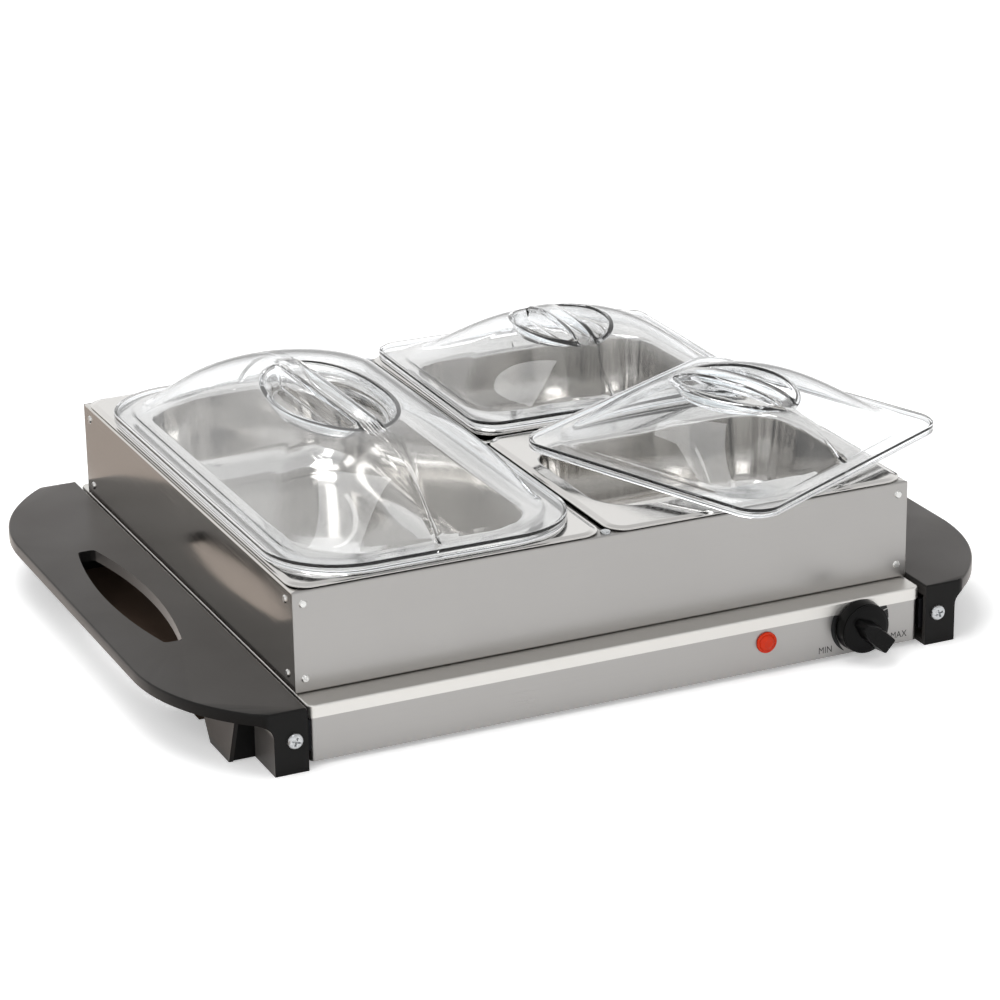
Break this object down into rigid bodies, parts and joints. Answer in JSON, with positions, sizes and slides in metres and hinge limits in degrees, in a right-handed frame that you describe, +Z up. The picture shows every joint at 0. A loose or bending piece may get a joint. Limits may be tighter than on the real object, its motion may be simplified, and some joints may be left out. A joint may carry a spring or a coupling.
{
  "type": "electric food warmer tray",
  "caption": "Buffet warming tray with side handles, a lift-off steel frame, drop-in food pans and clear lift-off lids.",
  "frame": {"origin": "on the ground, in the middle of the overall length and depth", "axes": "+X along the tray's length to the right, +Y to the rear, +Z up"},
  "size_m": [0.5168, 0.4108, 0.1425],
  "materials": {
    "brushed_stainless": "satin-brushed stainless sheet",
    "polished_stainless": "bright stainless sheet",
    "pan_stainless": "polished stainless, soft reflections",
    "galvanised_steel": "dull zinc-coated sheet",
    "zinc_steel": "bright zinc-plated steel",
    "rivet_aluminium": "plain aluminium rivets",
    "element_steel": "heat-tinted steel sheath",
    "reflector_aluminium": "bright aluminised sheet",
    "black_plastic": "fine-textured black phenolic moulding",
    "knob_plastic": "satin black plastic",
    "lamp_plastic": "gloss black moulded barrel of the pilot lamp",
    "red_lens": "transparent orange-red lens, moulded in one with its bezel",
    "bakelite": "dark moulded thermostat case",
    "glass_fibre": "pale glass-fibre mat",
    "white_ceramic": "white glazed ceramic",
    "clear_plastic": "water-clear moulded plastic"
  },
  "bodies": {
    "base": {"base_housing": "brushed_stainless", "warming_plate": "brushed_stainless", "bottom_cover": "galvanised_steel", "cover_screws": "zinc_steel", "handle_left": "black_plastic", "handle_right": "black_plastic", "handle_brackets": "galvanised_steel", "handle_screws": "zinc_steel", "handle_nuts": "zinc_steel", "thermostat_bracket": "galvanised_steel", "thermostat_screws": "zinc_steel", "thermostat_body": "bakelite", "lamp_body": "lamp_plastic", "lamp_lens": "red_lens", "lamp_nut": "knob_plastic", "heating_element": "element_steel", "element_clips": "galvanised_steel", "reflector": "reflector_aluminium", "insulation_pad": "glass_fibre", "reflector_posts": "zinc_steel", "thermal_fuse": "zinc_steel", "terminal_block": "white_ceramic", "cord_gland": "knob_plastic"},
    "knob": {"knob": "knob_plastic", "thermostat_shaft": "zinc_steel"},
    "upper_frame": {"frame_front": "brushed_stainless", "frame_rear": "brushed_stainless", "frame_left": "polished_stainless", "frame_right": "polished_stainless", "corner_angles": "galvanised_steel", "frame_rivets": "rivet_aluminium", "divider_long": "polished_stainless", "divider_cross": "polished_stainless", "divider_screws": "zinc_steel"},
    "pan_large": {"pan_large": "pan_stainless"},
    "pan_small_rear": {"pan_small_rear": "pan_stainless"},
    "pan_small_front": {"pan_small_front": "pan_stainless"},
    "lid_large": {"lid_large": "clear_plastic"},
    "lid_small_rear": {"lid_small_rear": "clear_plastic"},
    "lid_small_front": {"lid_small_front": "clear_plastic"}
  },
  "joints": [
    {"name": "knob_turn", "type": "hinge", "parent": "base", "child": "knob", "pos_m": [0.1492, -0.18545, 0.0201], "axis": [0, -1, 0], "range_deg": [0, 264]},
    {"name": "frame_lift", "type": "slide", "parent": "base", "child": "upper_frame", "axis": [0, 0, 1], "range_m": [0, 0.24]},
    {"name": "pan_large_lift", "type": "slide", "parent": "upper_frame", "child": "pan_large", "axis": [0, 0, 1], "range_m": [0, 0.24]},
    {"name": "pan_small_rear_lift", "type": "slide", "parent": "upper_frame", "child": "pan_small_rear", "axis": [0, 0, 1], "range_m": [0, 0.24]},
    {"name": "pan_small_front_lift", "type": "slide", "parent": "upper_frame", "child": "pan_small_front", "axis": [0, 0, 1], "range_m": [0, 0.24]},
    {"name": "lid_small_rear_slide", "type": "slide", "parent": "pan_small_rear", "child": "lid_small_rear", "axis": [0, 0.9976, 0.0698], "range_m": [0, 0.24]},
    {"name": "lid_large_lift", "type": "slide", "parent": "pan_large", "child": "lid_large", "axis": [0, 0, 1], "range_m": [0, 0.24]},
    {"name": "lid_small_front_lift", "type": "slide", "parent": "pan_small_front", "child": "lid_small_front", "axis": [0, 0, 1], "range_m": [0, 0.24]}
  ]
}
